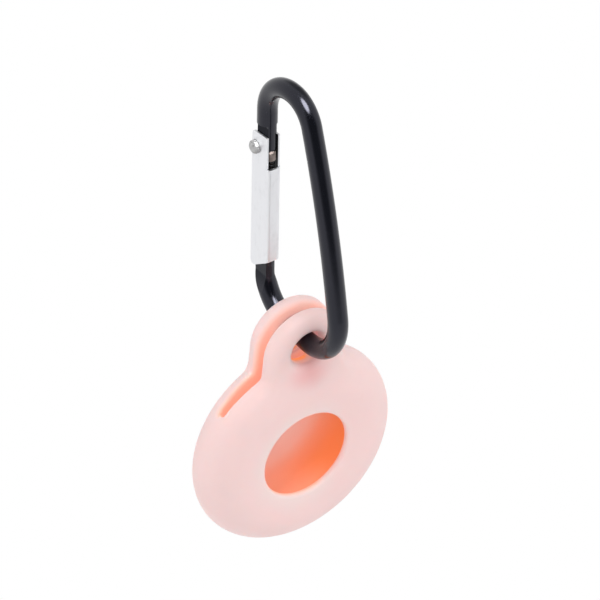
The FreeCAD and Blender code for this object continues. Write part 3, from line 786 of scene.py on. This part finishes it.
class TAGPOUCH_OT_stage(bpy.types.Operator):
    """Set up the camera, the soft light, the pale floor and the white surroundings"""

    bl_idname = "tag_pouch.stage"
    bl_label = "Stage"

    def execute(self, context):
        scene = context.scene
        scene.view_settings.view_transform = "Standard"
        self.camera(scene)
        self.lamps(scene)
        self.floor(scene)
        self.surroundings(scene)
        return {"FINISHED"}

    def camera(self, scene):
        back = Vector(CAMERA_BACK).normalized()
        up = back.cross(Vector(CAMERA_RIGHT).normalized()).normalized()
        right = up.cross(back)
        data = bpy.data.cameras.new("camera")
        data.type = "ORTHO"
        data.ortho_scale = CAMERA_WIDTH
        camera = stand(scene, "camera", data)
        turn = Matrix((right, up, back)).transposed().to_4x4()
        camera.matrix_world = Matrix.Translation(Vector(CAMERA_AIM) + back * CAMERA_DISTANCE) @ turn
        scene.camera = camera

    def lamps(self, scene):
        aim = POUCH_CENTRE + Vector(LAMP_AIM)
        for name, (place, side, power) in LAMPS.items():
            data = bpy.data.lights.new(name, "AREA")
            data.shape = "SQUARE"
            data.size = side
            data.energy = power
            lamp = stand(scene, name, data)
            lamp.location = aim + Vector(place)
            lamp.visible_glossy = False
            lamp.rotation_euler = (aim - lamp.location).to_track_quat("-Z", "Y").to_euler()

    def floor(self, scene):
        material, sheet = start_material("floor_finish")
        level = sheet.add("ShaderNodeVectorMath", {"operation": "MULTIPLY"},
                          {0: sheet.place(), 1: (1.0, 1.0, 0.0)})
        away = sheet.add("ShaderNodeVectorMath", {"operation": "LENGTH"}, {0: level}, out="Value")
        speckle = sheet.noise(sheet.place(), scale=60.0)
        paper = sheet.add("ShaderNodeBsdfDiffuse", {}, {
            "Color": sheet.blend(speckle, opaque([PAPER] * 3), opaque([PALE_PAPER] * 3))})
        white = sheet.add("ShaderNodeEmission", {}, {"Color": opaque([WHITE] * 3), "Strength": 1.0})
        whiteness = self.seen(sheet) * away.ramp(*FLOOR_FADE)
        close_material(sheet, sheet.add("ShaderNodeMixShader", {}, {0: whiteness, 1: paper, 2: white}))
        low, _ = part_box("silicone_holder")
        height = low[2] - scene.pouch_stage.floor_drop
        mesh = bpy.data.meshes.new("floor")
        turns = [2 * math.pi * corner / FLOOR_CORNERS for corner in range(FLOOR_CORNERS)]
        mesh.from_pydata([(FLOOR_REACH * math.cos(turn), FLOOR_REACH * math.sin(turn), height)
                          for turn in turns], [], [tuple(range(FLOOR_CORNERS))])
        mesh.materials.append(material)
        floor = stand(scene, "floor", mesh)

    def seen(self, sheet):
        """1 for what the camera sees, straight on or by reflection."""
        path = sheet.tree.nodes.new("ShaderNodeLightPath")
        wanted = [Value(sheet, path.outputs[name])
                  for name in ("Is Camera Ray", "Is Glossy Ray", "Is Transmission Ray")]
        return wanted[0].most(wanted[1]).most(wanted[2])

    def patch(self, sheet, way, aim, cosines, strength):
        """How strong a direction's round patch of surroundings is, towards an aim."""
        return strength * sheet.along(way, Vector(aim).normalized()).ramp(*cosines)

    def surroundings(self, scene):
        world = bpy.data.worlds.new("surroundings")
        world.use_nodes = True
        world.node_tree.nodes.clear()
        sheet = NodeSheet(world.node_tree)
        ambient = scene.pouch_stage.ambient
        way = sheet.add("ShaderNodeTexCoord", {}, {}, out="Generated")
        path = sheet.tree.nodes.new("ShaderNodeLightPath")
        mirrored = Value(sheet, path.outputs["Is Glossy Ray"])
        dark = self.patch(sheet, way, *DARK_SIDE) * sheet.along(way, Z).ramp(*TABLE_EDGE)
        shade = self.patch(sheet, way, *SHADED_CORNER)
        softbox = self.patch(sheet, way, *SOFTBOX)
        strength = ambient + (1.0 - ambient) * self.seen(sheet) + mirrored * (softbox - dark - shade)
        light = sheet.add("ShaderNodeBackground", {}, {"Color": opaque([WHITE] * 3), "Strength": strength})
        sheet.add("ShaderNodeOutputWorld", {}, {"Surface": light})
        scene.world = world


class TAGPOUCH_PT_panel(bpy.types.Panel):
    """Sidebar panel with the pieces and their sizes"""

    bl_idname = "TAGPOUCH_PT_panel"
    bl_label = "Tag pouch"
    bl_space_type = "VIEW_3D"
    bl_region_type = "UI"
    bl_category = "Tag pouch"

    def draw(self, context):
        for operator in OPERATORS:
            self.layout.operator(operator.bl_idname)
        scene = context.scene
        for group in (scene.pouch_sizes, scene.pouch_spring, scene.pouch_finishes, scene.pouch_stage):
            column = self.layout.column(align=True)
            for name in group.__annotations__:
                column.prop(group, name)


OPERATORS = (TAGPOUCH_OT_pouch, TAGPOUCH_OT_rod, TAGPOUCH_OT_gate, TAGPOUCH_OT_hinge, TAGPOUCH_OT_spring,
             TAGPOUCH_OT_stage)
CLASSES = (PouchSizes, SpringSizes, Finishes, StageSizes, *OPERATORS, TAGPOUCH_PT_panel)


def register():
    for item in CLASSES:
        bpy.utils.register_class(item)
    bpy.types.Scene.pouch_sizes = PointerProperty(type=PouchSizes)
    bpy.types.Scene.pouch_spring = PointerProperty(type=SpringSizes)
    bpy.types.Scene.pouch_finishes = PointerProperty(type=Finishes)
    bpy.types.Scene.pouch_stage = PointerProperty(type=StageSizes)


def unregister():
    del bpy.types.Scene.pouch_stage
    del bpy.types.Scene.pouch_finishes
    del bpy.types.Scene.pouch_spring
    del bpy.types.Scene.pouch_sizes
    for item in reversed(CLASSES):
        bpy.utils.unregister_class(item)


def main():
    """Dress the part."""
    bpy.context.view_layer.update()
    register()
    bpy.ops.tag_pouch.pouch()
    bpy.ops.tag_pouch.rod()
    bpy.ops.tag_pouch.gate()
    bpy.ops.tag_pouch.hinge()
    bpy.ops.tag_pouch.spring()
    bpy.ops.tag_pouch.stage()


if __name__ == "__main__":
    main()
